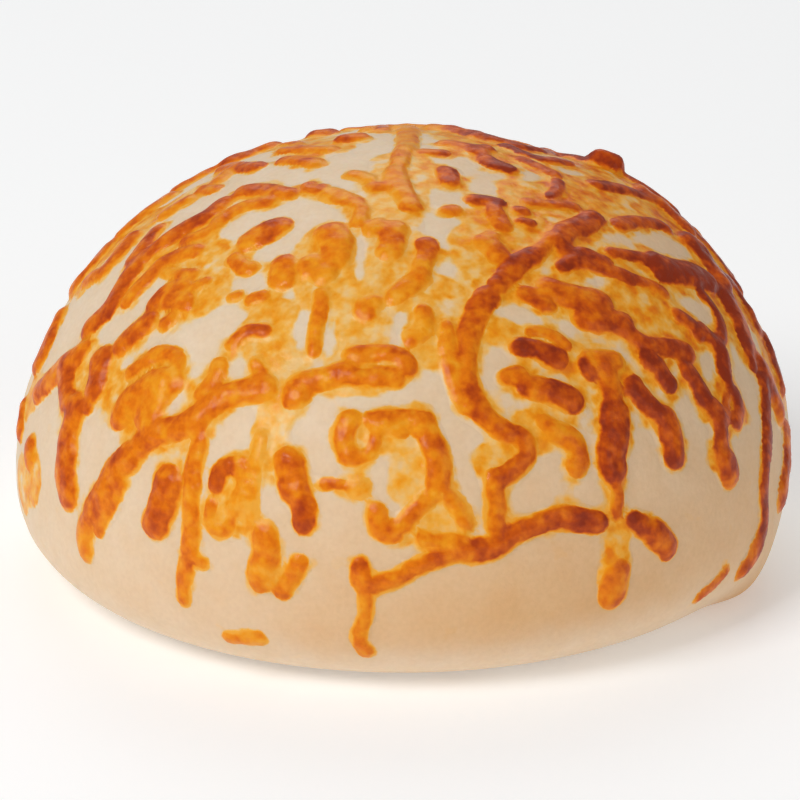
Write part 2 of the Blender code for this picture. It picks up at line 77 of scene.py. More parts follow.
# The strands, within 3 mm of where the solid has them: width in mm, how toasted the two ends are from 0 to
# 1, then the places they pass through
STRAND_RISE = 0.17  # their height, in widths
STRAND_SHARE = 0.90  # of a strand's width that stands clear of the film
TRIM = 0.6  # of half a strand's width, cut off each end to make room for its rounding
LONGEST_TRIM = 0.45  # of a strand's length
ROUTE_STEPS = 8  # places worked out between two given ones
PLACED_STRANDS = (
    # over the crown
    (5.2, 0.80, 0.85, (-150, 21.5), (-143, 23)),
    (5.4, 0.80, 0.65, (-121, 33), (-127, 29), (-132, 26)),
    (3.8, 0.60, 0.75, (-112, 30), (-100, 24), (-93, 21)),
    (3.6, 0.55, 0.50, (-95, 18), (-82, 14), (-70, 13)),
    (4.8, 0.70, 0.80, (-128, 12), (-142, 8)),
    (3.6, 0.40, 0.45, (176, 13), (170, 4), (-5, 8)),
    (4.2, 0.50, 0.45, (-7, 8), (-5, 12), (1, 17)),
    (4.1, 0.50, 0.60, (1, 16), (4, 21)),
    (2.6, 0.22, 0.25, (-40, 12), (-18, 13)),
    (3.6, 0.30, 0.50, (-38, 18), (-24, 19), (-17, 20)),
    (3.4, 0.50, 0.38, (-17, 20), (-15, 25)),
    (3.4, 0.80, 0.70, (37, 10), (28, 15)),
    (3.6, 0.70, 1.00, (30, 19), (36, 20.5), (40, 22.5)),
    (3.6, 0.70, 0.50, (36, 22), (32, 27)),
    (3.1, 0.55, 0.70, (50, 3), (70, 7)),
    (3.4, 0.50, 0.60, (120, 6), (105, 8), (96, 11)),
    (3.8, 0.65, 0.60, (100, 13), (90, 11), (82, 12)),
    (3.6, 0.60, 0.95, (78, 12), (72, 14), (70, 17)),
    (6.0, 0.50, 0.95, (168, 18.5), (150, 18), (134, 16.5)),
    (3.4, 0.95, 0.70, (113, 16), (100, 20), (104, 26)),
    (3.1, 0.60, 0.50, (92, 17), (83, 23)),
    (3.1, 0.90, 0.75, (42, 24), (47, 25)),
    (3.1, 0.85, 0.80, (39, 26), (43, 28)),
    (2.9, 0.40, 0.45, (50, 23), (58, 25), (67, 28)),
    # left shoulder
    (4.2, 0.70, 0.80, (-50, 20.5), (-61, 21.5), (-69, 23.3), (-74, 25.5)),
    (4.4, 0.75, 0.75, (-73.5, 27), (-70, 31), (-71, 35), (-71, 40), (-72, 43)),
    (4.6, 0.75, 0.75, (-72, 43), (-70, 47), (-68, 52), (-70, 57)),
    (3.4, 0.50, 0.42, (-53, 23), (-60, 25.5), (-63, 28.5), (-62, 31.5)),
    (2.9, 0.40, 0.60, (-61, 31), (-62, 34), (-66, 37)),
    (3.1, 0.55, 0.80, (-53, 17), (-46, 18), (-40, 17)),
    (4.6, 0.82, 0.50, (-39.5, 26.5), (-43, 29), (-46, 33)),
    (3.1, 0.40, 0.45, (-46, 35), (-41, 36), (-37, 36)),
    (4.0, 0.75, 0.75, (-82, 38), (-78, 41), (-74, 45)),
    (3.4, 0.65, 0.55, (-57, 36), (-62, 39), (-64, 42), (-64, 46), (-64, 50)),
    (4.0, 0.62, 0.65, (-88, 42), (-84, 46), (-83, 50), (-88, 54)),
    (3.4, 0.45, 0.50, (-91, 32), (-90, 35), (-88, 38)),
    (5.2, 0.60, 0.70, (-89, 61), (-84, 65), (-82, 70)),
    (4.1, 0.60, 0.70, (-53, 49), (-55, 52), (-57, 57)),
    (3.4, 0.55, 0.80, (-51, 41.5), (-55, 44), (-56, 48)),
    (3.8, 0.50, 0.45, (-54, 46), (-50, 45), (-46, 45)),
    # left flank
    (5.0, 0.65, 0.60, (-66, 59), (-69, 63), (-72, 67), (-76, 72)),
    (4.8, 0.72, 0.80, (-61, 58), (-58, 61), (-57, 65)),
    (3.1, 0.75, 0.70, (-56, 66), (-59, 67), (-63, 68)),
    (5.4, 0.75, 0.72, (-60.5, 66), (-59.5, 70.5), (-58.5, 75), (-57, 79), (-54.5, 82.5)),
    (4.4, 0.60, 0.75, (-82, 76), (-78, 81)),
    (4.4, 0.65, 0.50, (-72, 78.5), (-69, 82)),
    (4.6, 0.55, 0.58, (-42, 57), (-46, 60), (-48, 63), (-49, 67)),
    (3.1, 0.60, 0.50, (-51, 59), (-49, 56), (-46, 54), (-42, 54), (-41, 57)),
    (2.9, 0.70, 0.60, (-46, 61), (-44, 65), (-40, 66)),
    (4.3, 0.60, 0.62, (-32, 62), (-36, 64), (-41, 67), (-43, 70)),
    (4.6, 0.70, 0.76, (-43, 70), (-46, 74), (-48, 79), (-50, 84)),
    (4.2, 0.50, 0.36, (-50, 84), (-51, 88), (-50, 92)),
    (2.6, 0.55, 0.50, (-44, 75), (-46, 81), (-48, 86)),
    (5.4, 0.78, 0.80, (-36, 71), (-36, 76), (-37, 82)),
    (3.1, 0.55, 0.60, (-32, 64), (-32, 70), (-31, 78), (-31, 84)),
    (2.6, 0.55, 0.60, (-31, 84), (-31.5, 89), (-32, 97)),
    (2.8, 0.90, 0.80, (-25.5, 68), (-27.5, 69.5), (-27.5, 72.5)),
    (2.9, 0.42, 0.36, (-25, 67), (-23.5, 71), (-24.5, 76)),
    (2.9, 0.45, 0.50, (-26, 116), (-20, 111)),
    (4.8, 0.42, 0.45, (-40, 56), (-43, 61), (-42, 66)),
    # front
    (4.3, 0.65, 0.50, (-32, 33), (-28, 38)),
    (5.3, 0.45, 0.50, (-26, 26), (-19, 29), (-17, 33)),
    (4.6, 0.42, 0.52, (-26, 34), (-21, 34), (-18, 36)),
    (4.3, 0.55, 0.50, (-2, 24), (-3, 28), (-4, 31)),
    (3.6, 0.36, 0.34, (-12, 26), (-6, 24)),
    (3.4, 0.95, 0.52, (6, 27), (7, 30), (4, 34)),
    (3.6, 0.50, 0.40, (5, 34), (1, 37), (-3, 39)),
    (3.4, 0.40, 0.60, (-5, 39), (-8, 40), (-7, 42)),
    (3.4, 0.55, 0.40, (4, 40), (4, 44), (1, 46)),
    (4.1, 0.60, 0.55, (-36, 64), (-33, 61), (-30, 58), (-26, 56), (-22, 55)),
    (3.1, 0.40, 0.45, (-33, 52), (-33, 56), (-35, 59)),
    (4.1, 0.50, 0.65, (-18, 57), (-17, 54), (-12, 52), (-8, 51)),
    (3.4, 0.55, 0.65, (-10, 49), (-4, 48), (0, 49), (1, 52)),
    (3.4, 0.60, 0.55, (-9, 52), (-4, 52), (0, 52)),
    (3.1, 0.55, 0.60, (3, 58.3), (-2, 58.3), (-6, 59.3)),
    (3.6, 0.65, 0.72, (-8, 58), (-9, 62), (-8, 65)),
    (3.6, 0.40, 0.42, (-5, 60), (1, 60)),
    (4.1, 0.60, 0.65, (2, 58), (4, 61), (5, 65), (5, 70)),
    (5.0, 0.72, 0.85, (-17.5, 64.5), (-16.5, 68), (-15, 72)),
    (4.1, 0.85, 1.00, (-15, 71), (-14, 74), (-14, 77)),
    (4.8, 0.50, 0.52, (-20, 77), (-19, 81), (-20, 87)),
    (3.1, 0.45, 0.65, (-14, 81), (-15, 84), (-17, 88)),
    (3.4, 0.45, 0.60, (-4, 72), (-3, 76), (0, 76)),
    (2.9, 0.60, 0.50, (0, 76), (2, 73), (5, 70)),
    (2.9, 0.50, 0.45, (6, 70), (8, 73), (9, 76)),
    (2.9, 0.42, 0.50, (2, 77), (5, 78), (9, 78)),
    (2.9, 0.60, 0.55, (13, 67), (13, 71), (13, 77)),
    (3.2, 0.75, 0.75, (-6, 81), (-5, 85), (-2, 84.5), (3, 81.4), (9, 79.4)),
    (3.8, 0.78, 0.90, (8, 80), (13, 79), (16, 77), (22, 76), (29, 78)),
    (2.6, 0.65, 0.60, (-5, 85), (-5, 92), (-6, 104), (-5, 117)),
    # right shoulder
    (4.3, 0.65, 0.60, (68, 31), (59, 31), (50, 31), (44, 33)),
    (3.1, 0.60, 0.65, (36, 33), (41, 32), (46, 31)),
    (3.8, 0.95, 0.75, (37, 33), (30, 34), (25, 36), (20, 38)),
    (3.8, 0.72, 0.70, (20, 38), (15, 42), (12, 47), (11, 53), (13, 59), (17, 62)),
    (3.1, 0.65, 0.70, (17, 61), (19, 63), (18, 66), (13, 69)),
    (2.9, 0.45, 0.52, (9, 43), (8, 48), (9, 54), (11, 58)),
    (3.8, 0.45, 0.55, (22, 28), (26, 31), (26, 33)),
    (3.1, 0.45, 0.52, (27, 27), (24, 33)),
    (3.4, 0.75, 0.80, (44, 31), (45, 35), (49, 36), (53, 39)),
    (3.4, 0.62, 0.62, (69, 34), (77, 36), (84, 39), (86, 42)),
    (3.4, 0.80, 0.70, (88, 28), (95, 33), (99, 38), (102, 42)),
    (2.9, 0.72, 0.85, (56, 37), (61, 39), (66, 42)),
    (5.8, 0.88, 1.00, (65, 42), (71, 46), (77, 49), (79, 52)),
    (5.8, 0.85, 0.90, (89, 44), (87, 50), (84, 55)),
    (3.1, 0.75, 0.65, (43, 36), (50, 39), (55, 43)),
    (3.4, 0.75, 0.80, (59, 50), (61, 53), (62, 56)),
    (3.1, 0.62, 0.60, (26, 39), (29, 40), (31, 43)),
    (5.0, 0.50, 0.58, (32, 39), (38, 42), (44, 45)),
    (4.3, 0.62, 0.72, (36, 45), (41, 47), (46, 49)),
    (3.4, 0.70, 0.85, (103, 42), (101, 48), (98, 54), (95, 60)),
    (3.4, 0.95, 0.80, (90, 48), (89, 53), (91, 57), (89, 62)),
    (4.6, 0.55, 0.85, (135, 31), (128, 31), (120, 32.5)),
    (4.6, 0.60, 0.65, (104, 37), (100, 42), (96, 47)),
    # right flank
    (3.6, 0.95, 0.95, (20, 48), (24, 49), (29, 52)),
    (3.1, 0.90, 0.85, (32, 52), (34, 55)),
    (4.1, 0.60, 1.00, (21, 55), (25, 56), (29, 59)),
    (2.9, 0.42, 0.80, (17, 53), (20, 53), (21, 56)),
    (3.4, 0.50, 0.55, (23, 62), (26, 64), (27, 67), (25, 69)),
    (3.4, 0.45, 0.50, (33, 52), (37, 53), (40, 54)),
    (3.6, 0.50, 0.65, (37, 53), (36, 57), (35, 60)),
    (5.2, 0.90, 0.85, (35, 60), (34, 64), (32, 68), (32, 72)),
    (4.4, 0.42, 0.45, (31, 85), (30, 90), (30, 96)),
    (3.8, 0.85, 0.80, (40, 57), (41, 60), (43, 64)),
    (4.4, 0.80, 0.80, (43, 63), (44, 67), (43, 72)),
    (3.8, 0.90, 1.00, (45, 54), (47, 57), (48, 61)),
    (3.4, 0.70, 0.75, (44, 49), (46, 52), (50, 54), (57, 57)),
    (4.2, 0.95, 0.95, (53, 58), (54, 62), (54, 65)),
    (4.2, 0.80, 0.72, (54, 65), (55.5, 68), (54, 72.5), (53.5, 75)),
    (5.0, 0.70, 0.45, (54, 74), (55, 79)),
    (3.8, 0.85, 1.00, (63, 54), (64.5, 57.5), (64.5, 60), (62.5, 62.5), (61.5, 64)),
    (3.2, 0.95, 0.75, (61, 64.5), (62.5, 66.5), (61.5, 69), (59, 70.5)),
    (3.4, 0.92, 0.85, (81, 52), (78, 57), (75, 61), (72.5, 65.5)),
    (3.8, 0.90, 0.85, (74.5, 67.5), (72.5, 70.5), (69, 75), (65.5, 80)),
    (3.6, 0.85, 0.75, (65.5, 80), (63.5, 85), (63, 90), (62, 96)),
    (3.8, 0.65, 0.50, (62, 96), (60, 105), (57, 112)),
    (3.8, 0.85, 0.80, (90, 66), (87, 70), (83, 75)),
    (3.4, 0.60, 0.70, (90, 60), (87, 65)),
    (4.8, 0.52, 0.55, (80, 79), (76, 85), (71, 90)),
    (2.4, 0.50, 0.50, (53, 101), (50, 108), (47, 114)),
    (3.8, 0.95, 0.80, (33, 78), (36, 81)),
    (4.3, 0.78, 0.75, (36, 81), (38, 83), (40, 86)),
    (5.2, 0.72, 0.60, (85, 52), (79, 58), (75.5, 64)),
    (5.0, 0.62, 0.50, (77, 65), (76, 71), (77, 77)),
    # along the left horizon
    (4.3, 0.60, 0.55, (-126, 31), (-117, 36), (-112, 40)),
    (4.6, 0.55, 0.60, (-107, 38), (-101, 43), (-98, 48)),
    (4.8, 0.60, 0.55, (-97, 49), (-95, 54), (-94, 59)),
    (3.6, 0.60, 0.50, (-122, 42), (-115, 48)),
    # along the right horizon
    (4.3, 0.85, 0.70, (116, 37), (110, 42), (107, 47)),
    (3.8, 0.75, 0.60, (108, 53), (102, 60)),
)
# The thick curl that stands up at the back of the right shoulder
CURL = (4.4, 0.75, 0.85, (119, 33), (114, 37))
CURL_RISE = 0.54
# The scattered strands of the back, first those in the solid and then those too fine for it: seed, count,
# least gap between two middles, then lengths and widths in mm
SCATTER = (7, 42, 0.0064, (10, 23), (3.1, 5.2))
FINE_SCATTER = (11, 36, 0.0042, (5, 13), (1.7, 2.9))
SCATTER_TRIES = 1500
SCATTER_AZIMUTHS = (110, 240)
SCATTER_POLARS = (14, 86)
SCATTER_TOASTS = (0.40, 0.95)
SCATTER_BEND = 35  # degrees that each half may turn
DRIP_POLAR = 55  # below this the strands hang downhill
DRIP_HEADINGS = (60, 120)  # degrees from level

# Strands that the solid does without, most of them too fine for it
FINE_STRANDS = (
    (2.9, 0.45, 0.40, (-103, 27), (-93, 28)),
    (2.9, 0.55, 0.50, (-19, 15), (-9, 14)),
    (2.9, 0.40, 0.50, (15, 21), (22, 21)),
    (2.6, 0.60, 0.75, (80, 23), (71, 24), (62, 24)),
    (2.6, 0.42, 0.50, (-62, 42), (-56, 41), (-51, 40)),
    (2.9, 0.65, 0.50, (-94, 31), (-86, 28)),
    (2.6, 0.55, 0.50, (-50, 43), (-46, 40)),
    (2.9, 0.50, 0.60, (-48, 47), (-50, 50)),
    (2.2, 0.50, 0.50, (-39, 42), (-36, 41)),
    (2.6, 0.45, 0.60, (-34, 42), (-30, 40)),
    (2.6, 0.95, 0.50, (-26, 46), (-31, 47), (-33, 50)),
    (4.4, 0.72, 0.75, (-69, 62), (-67, 65), (-62, 69)),
    (2.2, 0.50, 0.55, (-31, 84), (-28, 85)),
    (2.2, 0.50, 0.50, (-28, 74), (-28, 78), (-26, 79), (-24, 77)),
    (2.6, 0.50, 0.75, (-27, 51), (-25, 53), (-25, 55)),
    (2.6, 0.60, 0.50, (-8, 65), (-5, 64), (-4, 61)),
    (1.7, 0.65, 0.60, (-12, 69), (-7, 69)),
    (2.6, 0.45, 0.40, (-8, 70), (-5, 69)),
    (2.4, 0.12, 0.32, (-22, 62), (-22, 70), (-21.5, 77)),
    (2.9, 0.85, 0.80, (39, 37), (45, 36)),
    (2.4, 0.60, 0.60, (54, 42), (59, 44.5), (62, 47)),
    (2.2, 0.45, 0.60, (24, 46), (28, 47), (31, 50)),
    (2.6, 0.60, 0.75, (22, 60), (24, 62)),
    (2.5, 0.60, 0.50, (32, 72), (31, 78)),
    (3.6, 0.52, 0.45, (-113, 20), (-108, 15), (-100, 10)),
    (3.4, 0.35, 0.35, (-166, 15), (-155, 14)),
    (3.6, 0.35, 0.38, (-174, 15), (172, 15)),
    (2.6, 0.42, 0.45, (-18, 38), (-17, 44), (-16, 49)),
    (2.8, 0.90, 0.85, (72, 50), (72.5, 54), (70.5, 56.5), (66, 58.5)),
    (2.4, 0.50, 0.50, (60, 65), (58.5, 67), (57, 69.5)),
)

# Pools of cheese that melted flat between the strands: width in mm, then the places it passes through
POOLS = (
    (7, (-4, 4), (0, 12), (-2, 20)),
    (6, (-27, 42), (-25, 50)),
    (7, (-25, 28), (-19, 36), (-15, 40)),
    (5, (20, 27), (20, 35)),
    (6, (46, 45), (50, 48)),
    (5, (56, 46), (52, 50)),
    (6, (3, 73), (7, 77)),
    (5, (-5, 61), (0, 61)),
    (5, (2, 64), (1, 70)),
    (4, (-20, 50), (-20, 58)),
    (4, (-21, 58), (-20, 66)),
    (5, (-27, 73), (-24, 78)),
    (6, (-68, 81), (-69, 88)),
    (4, (-53, 60), (-53, 64)),
    (4, (13, 64), (14, 68)),
    (4, (19, 60), (22, 64)),
    (4, (-60, 36), (-52, 35)),
    (4, (-46, 37), (-44, 45)),
    (3, (31, 79), (31, 86)),
    (3, (19, 45), (20, 46)),
    (4, (7, 44), (6, 50)),
    (5, (84, 25), (76, 28)),
    (4, (50, 34), (40, 36)),
    (7, (84, 28), (92, 36), (97, 44)),
    (7, (112, 38), (104, 46), (97, 54)),
    (9, (92, 58), (88, 67), (85, 76)),
    (7, (45, 46.5), (51, 48.5), (56, 51)),
    (5, (30, 23), (26, 30)),
    (4, (18, 35), (14, 38)),
    (5, (7, 37), (13, 41)),
    (6, (38, 28), (46, 29)),
    (8, (50, 21), (62, 25), (72, 29)),
    (6, (-2, 22), (-3, 30), (-2, 38)),
    (4, (31, 84), (30, 88)),
    (7, (-46, 56), (-46, 62), (-43, 67)),
    (5, (-12, 51.5), (-3, 51)),
    (6, (-36, 60), (-30, 58)),
    (6, (-94, 31), (-93, 37)),
    (7, (-96, 40), (-90, 48), (-90, 55)),
    (6, (-62, 33), (-66, 37), (-69, 41)),
    (5, (-68, 42), (-68, 48)),
    (6, (-67, 61), (-62, 62)),
    (6, (-125, 20), (-115, 15), (-105, 9)),
    (7, (-165, 15), (170, 14)),
    (6, (160, 15), (140, 12), (125, 10)),
    (7, (128, 18), (118, 24), (112, 30)),
    (7, (106, 28), (100, 34), (103, 40)),
    (6, (112, 12), (98, 15)),
    (7, (94, 40), (91, 46)),
    (6, (-8, 37), (-7, 47)),
    (5, (-76, 71), (-80, 75)),
    (6, (-76, 86), (-71, 90)),
)
# The scattered pools of the back
POOL_SEED = 5
POOL_COUNT = 16
POOL_LENGTHS = (2, 8)  # mm
POOL_WIDTHS = (3.5, 7.0)  # mm

# The grid that the pieces are made on
GRID_CUTS = 120
WAIST_SHARE = 102  # degrees of the sphere's 180 that lie above the waist
PROFILE_POLARS = (0.05, 269.95)  # just short of the two ends, where the radius is 0
PROFILE_STEPS = 6000
PLAIN_AZIMUTH = 180  # a side without the lobe
NORMAL_STEP = 0.5  # degrees

# Relief, in metres
NOISE_LOSS = 1.0  # how fast the noise's octaves weaken
NOISE_STEP = 2.0  # how much finer each octave is
SEED_SHIFT = (1, 1.7, -1)  # which way a seed moves the noise
DOUGH_LUMPS = ((0.00022, 0.014), (0.00007, 0.0045))  # height and size
DOUGH_SEED = 5.0
WARP_HEIGHT = 0.0004  # how far the strands' edges wander
WARP_SIZE = 0.0045
WARP_SEEDS = (7.0, 9.0, 11.0)
LUMPS = (0.0060, 1.0)  # size and seed
LUMP_SHARE = 0.16  # of a strand's width that comes and goes with the lumps
PATCHES = (0.0032, 3.0)  # size and seed
PATCH_SHARES = (0.15, 0.3)  # of a strand's and of the film's height that comes and goes with the patches
FILM_HEIGHT = 0.00022
FILM_SINK = 0.00010  # how deep the shell is set into the dough, which hides the end of its fringe
UNDERSIDE = 0.0006  # how deep in the dough the shell's inner side lies
THINNEST = 0.00002  # a face of the shell has a corner where the cheese is thicker than this
FOOT_POLAR = 178  # no cheese lies below this

# The halo of thin cheese round a strand. Its reach and its cover each start from what they are on the lower
# crust. Then come what the upper crust adds, and what a side that is browner from baking and from painted
# shade adds to that
HALO_REACH = (0.0005, 0.0003, 0.0005)
HALO_COVER = (0.40, 0.15, 0.20)
POOL_COVER = 0.9
UPPER_POLARS = (92, 62)  # the lower crust turns into the upper crust between these
FARTHEST_HALO = 0.005  # past a strand's edge, no halo is worked out

# How the strands' edges and toast are blended
EDGE_BLEND = 0.12  # mm over which strands that touch run together
EDGE_LIMIT = 3.0  # mm, the farthest in or out that is told
FAR_TOAST = 0.5  # where no strand is near

# Colours, as linear red, green and blue: a tone from 0, bare dough, to 1, nearly burnt
TONES = (
    (0.00, (0.85, 0.68, 0.50)),
    (0.10, (0.88, 0.64, 0.36)),
    (0.22, (0.93, 0.58, 0.19)),
    (0.34, (0.94, 0.46, 0.060)),
    (0.46, (0.91, 0.34, 0.010)),
    (0.60, (0.83, 0.21, 0.003)),
    (0.74, (0.65, 0.110, 0.003)),
    (0.88, (0.45, 0.056, 0.005)),
    (1.00, (0.30, 0.032, 0.006)),
)
BARE_TONES = (0.10, 0.40)  # the dough's tan and painted shade fade out between these
# What the colour is multiplied by: from no tan to full tan with painted shade, and from low to high noise
TAN_AND_SHADE_TINT = ((0.0, (1.0, 1.0, 1.0)), (1.0, (0.90, 0.66, 0.39)))
DOUGH_MOTTLE = ((0.35, (1.0, 1.0, 1.0)), (0.70, (0.975, 0.92, 0.84)))
DOUGH_GRAIN = ((0.35, (1.0, 1.0, 1.0)), (0.68, (0.96, 0.95, 0.94)))
TANS_AND_SHADE = (  # where the dough is darker and browner, partly its own tan and partly painted shade low on the front, at the foot and towards the +X side: azimuth, polar, how far round and down it spreads, and how much
    (20, 92, 26, 14, 0.75),
    (4, 104, 18, 12, 0.45),
    (62, 88, 26, 20, 0.5),
    (67, 150, 12, 40, 1.0),
    (88, 36, 42, 34, 0.5),
    (32, 62, 32, 36, 0.30),
    (0, 100, 60, 26, 0.40),
    (-5, 78, 40, 20, 0.20),
)
BAKED_AND_SHADED_SIDES = ((85, 1.0), (-95, 0.35))  # the sides whose cheese is browner, from baking and, on the +X side away from the key light, from painted shade: azimuth and how much
BAKED_AND_SHADED_POWER = 1.2  # more keeps it closer to the middle of those sides
BAKED_AND_SHADED_POLARS = (0, 14)  # the browning and painted shade set in between these, so the crown is as pale as the front
RIM_TONE = 0.345
CORE_TONE = 0.54  # what full toast adds to the rim's tone
FILM_TONE = 0.34
RIM_EDGES = (0.20, -0.12)  # from nothing to the full rim, in mm outside the strand's edge
CORE_EDGES = (0.12, -0.42)  # and the same for its core
FILM_EDGES = (0.34, 0.86)  # from nothing to the full colour of film, as shades of film
LEAST_TOAST = 0.05
TOAST_POWER = 1.3  # more keeps lightly toasted strands paler
BAKED_AND_SHADED_TOAST = (0.86, 1.03)  # what toast is multiplied by on the palest and on the brownest side
BAKED_AND_SHADED_BROWN = (1.0, 1.50)  # and the same for rims and film

# Noise in the materials: size in metres, detail and roughness. Blotches have the least and the most that
# they come to as well
NOISE_SPAN = (0.3, 0.7)  # the raw noise that is stretched into blotches
EDGE_FRAY = (0.0011, 4.0, 0.6, -0.10, 0.10)  # mm
RIM_BLOTCHES = (0.0040, 2.0, 0.5, -0.28, 0.18)  # mm
CORE_BLOTCHES = (0.0027, 2.0, 0.5, -0.22, 0.34)  # mm
TOAST_BLOTCHES = (0.0026, 2.0, 0.5, -0.28, 0.26)
TOAST_SPECKS = (0.0011, 2.0, 0.5, -0.13, 0.13)
FILM_WISPS = (0.0034, 2.5, 0.5, -0.42, 0.42)
FILM_GOLD = (0.0021, 2.5, 0.5, 0.50, 1.40)
DOUGH_ROUGHNESS = (0.004, 3.0, 0.5, 0.56, 0.68)
CHEESE_ROUGHNESS = (0.0018, 3.0, 0.5, -0.07, 0.10)
MOTTLE_NOISE = (0.006, 4.0, 0.6)
GRAIN_NOISE = (0.0007, 2.0, 0.5)
PORE_NOISE = (0.0006, 3.0, 0.6)
SKIN_NOISE = (0.0026, 3.0, 0.5)
BLISTERS = {"Scale": 1 / 0.0016, "Smoothness": 0.8, "Randomness": 1.0}  # cells, not noise

# Surfaces
GLOSS_TONES = (0.12, 0.45)
GLOSS = (0.58, 0.38)  # the cheese's roughness at those two tones
DOUGH_PORES = (0.00006, 0.7)  # height and strength
DOUGH_SKIN = (0.00022, 0.6)
CHEESE_PORES = (0.00008, 0.8)
CHEESE_BLISTERS = (0.00030, 0.6)
DOUGH_SURFACE = {
    "Subsurface Weight": 0.18,
    "Subsurface Radius": (1.0, 0.55, 0.30),
    "Subsurface Scale": 0.0022,
}
CHEESE_SURFACE = {
    "Subsurface Weight": 0.08,
    "Subsurface Radius": (1.0, 0.45, 0.15),
    "Subsurface Scale": 0.0015,
    "Specular IOR Level": 0.06,
    "Coat Weight": 0.22,
    "Coat Roughness": 0.12,
}

# The stage
AIM = Vector((AXIS_X, 0, WAIST_HEIGHT))
CAMERA_ELEVATION = 21  # degrees
CAMERA_DISTANCE = 0.55
CAMERA_LIFT = 0.0077
CAMERA_SIDE = -0.00034
CAMERA_CLIP = 0.01
SENSOR = 36  # mm
LENS = 181.2  # mm
FLOOR_SIZE = 6.0
FLOOR_COLOUR = (0.92, 0.94, 0.96, 1)
FLOOR_SURFACE = {
    "Base Color": FLOOR_COLOUR,
    "Roughness": 0.9,
    "Emission Color": FLOOR_COLOUR,
    "Emission Strength": 0.24,
}
ROOM_SURFACE = {"Color": (1.0, 0.98, 0.96, 1), "Strength": 0.31}
LIGHTS = (  # name, place, size, power and colour
    ("key", (-0.55, -0.55, 0.75), 0.5, 5.7, (1.0, 0.98, 0.95)),
    ("fill", (0.9, -0.7, 0.5), 0.8, 1.6, (1.0, 0.96, 0.92)),
    ("back", (0.0, 0.9, 0.85), 0.8, 3.0, (1.0, 0.98, 0.96)),
)


# ---------------------------------------------------------------- the crust

def profile(azimuth, polar):
    """Radius and height of the plain roll."""
    dome = np.radians(np.clip(polar, 0, 90))
    under = np.radians(np.clip(polar, 90, 180) - 90)
    inward = np.clip((270 - polar) / 90, 0, 1)
    base = BASE_RADIUS + LOBE_REACH * np.exp(-(((azimuth - LOBE_AZIMUTH) / LOBE_HALF_ANGLE) ** 2))
    belly = np.maximum(np.cos(under), 0) ** (2 / BELLY_POWER)
    radius = np.where(polar <= 90, WAIST_RADIUS * np.sin(dome), base + (WAIST_RADIUS - base) * belly)
    radius = np.where(polar > 180, base * inward, radius)
    sunk = WAIST_HEIGHT * (1 - np.sin(under) ** (2 / BELLY_POWER))
    return radius, np.where(polar <= 90, WAIST_HEIGHT + CROWN_RISE * np.cos(dome), sunk)


def plain_points(azimuth, polar):
    """Points of the plain roll at these places."""
    radius, height = profile(azimuth, polar)
    turn = np.radians(azimuth)
    return np.stack([radius * np.sin(turn), -radius * np.cos(turn), height], -1)


def crust_points(azimuth, polar):
    """Points of the solid's crust at these places."""
    plain = plain_points(azimuth, polar)
    swell = np.zeros(plain.shape[:-1])
    for height, waves, phase in SWELLS:
        swell += height * np.sin(plain @ np.array(waves) / WAIST_RADIUS + phase)
    for hollow_azimuth, hollow_polar, spread, depth in HOLLOWS:
        middle = plain_points(np.float64(hollow_azimuth), np.float64(hollow_polar))
        away = np.linalg.norm(plain - middle, axis=-1) / spread
        swell -= depth * np.exp(-away * away)
    above_waist = np.maximum(plain[..., 2] - WAIST_HEIGHT, 0) * WAIST_RADIUS**2 / CROWN_RISE**2
    normal = np.stack([plain[..., 0], plain[..., 1], above_waist], -1)
    length = np.linalg.norm(normal, axis=-1)
    fade = np.minimum(1, plain[..., 2] / WAIST_HEIGHT)
    lift = swell * fade / np.maximum(length, 1e-9)
    return plain + normal * lift[..., None] + np.array([AXIS_X, 0, 0])


def crust_normals(azimuth, polar):
    """Directions straight out of the crust at these places."""
    step = NORMAL_STEP
    polar = np.maximum(polar, 2 * step)
    down = crust_points(azimuth, polar + step) - crust_points(azimuth, polar - step)
    along = crust_points(azimuth + step, polar) - crust_points(azimuth - step, polar)
    normal = np.cross(down, along)
    return normal / np.linalg.norm(normal, axis=-1, keepdims=True)


def to_map(azimuth, polar):
    """A flat map of the crust round the crown, in which a strand's route is drawn."""
    turn = math.radians(azimuth)
    return Vector((polar * math.sin(turn), -polar * math.cos(turn)))


def from_map(point):
    """The place at a point of the flat map."""
    return math.degrees(math.atan2(point.x, -point.y)), point.length


def smooth_route(places):
    """Points of the crust along a smooth curve through the given places (Catmull-Rom)."""
    points = [to_map(*place) for place in places]
    points = [2 * points[0] - points[1], *points, 2 * points[-1] - points[-2]]
    route = []
    for a, b, c, d in zip(points, points[1:], points[2:], points[3:]):
        for k in range(ROUTE_STEPS):
            t = k / ROUTE_STEPS
            bent = (2 * a - 5 * b + 4 * c - d) * t**2 + (3 * b - a - 3 * c + d) * t**3
            route.append(0.5 * (2 * b + (c - a) * t + bent))
    route.append(points[-2])
    azimuths, polars = np.array([from_map(point) for point in route]).T
    return crust_points(azimuths, polars)


def place_point(place):
    """The point of the crust at one place."""
    azimuth, polar = place
    return Vector(crust_points(np.float64(azimuth), np.float64(polar)))


def noise_at(points, size, seed, octaves=2):
    """Smooth noise of about -1 to 1 whose bumps are this size."""
    shift = Vector([step * seed for step in SEED_SHIFT])
    places = [Vector(point) / size + shift for point in points]
    return np.array([noise.fractal(place, NOISE_LOSS, NOISE_STEP, octaves) for place in places])


def blend_in(low, high, value):
    """0 before low, 1 after high and an S-curve between. High may lie below low."""
    t = np.clip((value - low) / (high - low), 0, 1)
    return t * t * (3 - 2 * t)


